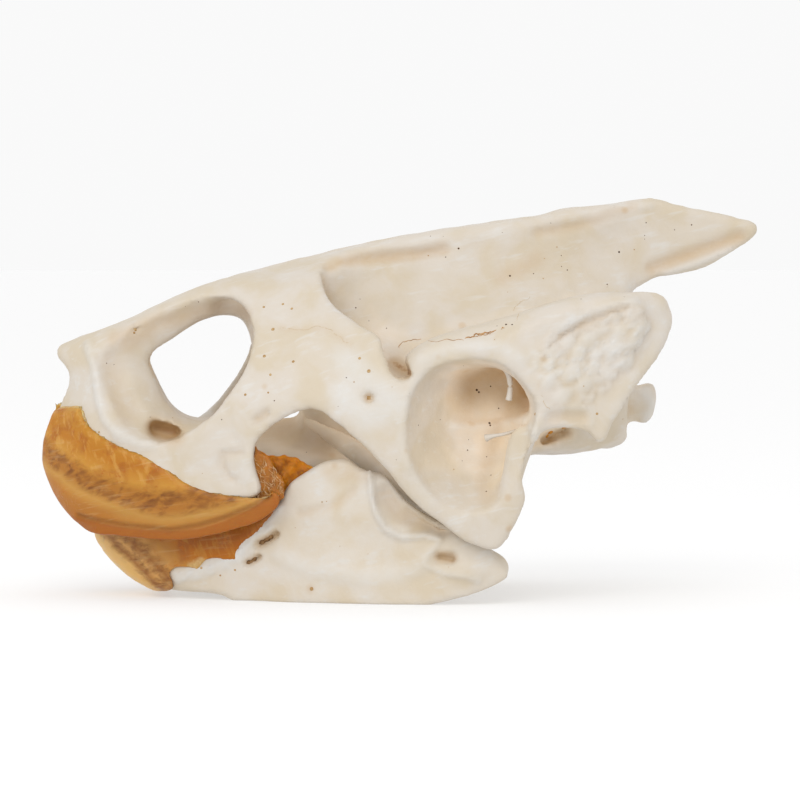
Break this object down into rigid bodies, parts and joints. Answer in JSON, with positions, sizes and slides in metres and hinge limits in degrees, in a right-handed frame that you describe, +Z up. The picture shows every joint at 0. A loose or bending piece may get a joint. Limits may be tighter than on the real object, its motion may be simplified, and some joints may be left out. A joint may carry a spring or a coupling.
{
  "type": "pond turtle skull",
  "caption": "Turtle skull with its jaw closed, open eye sockets, temples and ears, a long crest behind and horny beak sheaths at the front.",
  "frame": {"origin": "on the surface the jaw rests on, in the skull's middle plane, halfway between the front of the beak and the tip of the crest", "axes": "-X to the nose, +X to the tip of the crest, -Y to the skull's left side, +Z up"},
  "size_m": [0.0505, 0.027, 0.0277],
  "materials": {
    "bone": "dry ivory bone, matt with a faint sheen, tan in the hollows",
    "jaw_bone": "dry ivory bone, matt with a faint sheen",
    "upper_horn": "amber horn with darker mottled bands, satin",
    "lower_horn": "darker amber horn, satin"
  },
  "bodies": {
    "root": {"cranium": "bone", "mandible": "jaw_bone", "upper_beak": "upper_horn", "lower_beak": "lower_horn", "columella_left": "bone", "columella_right": "bone"}
  },
  "joints": []
}
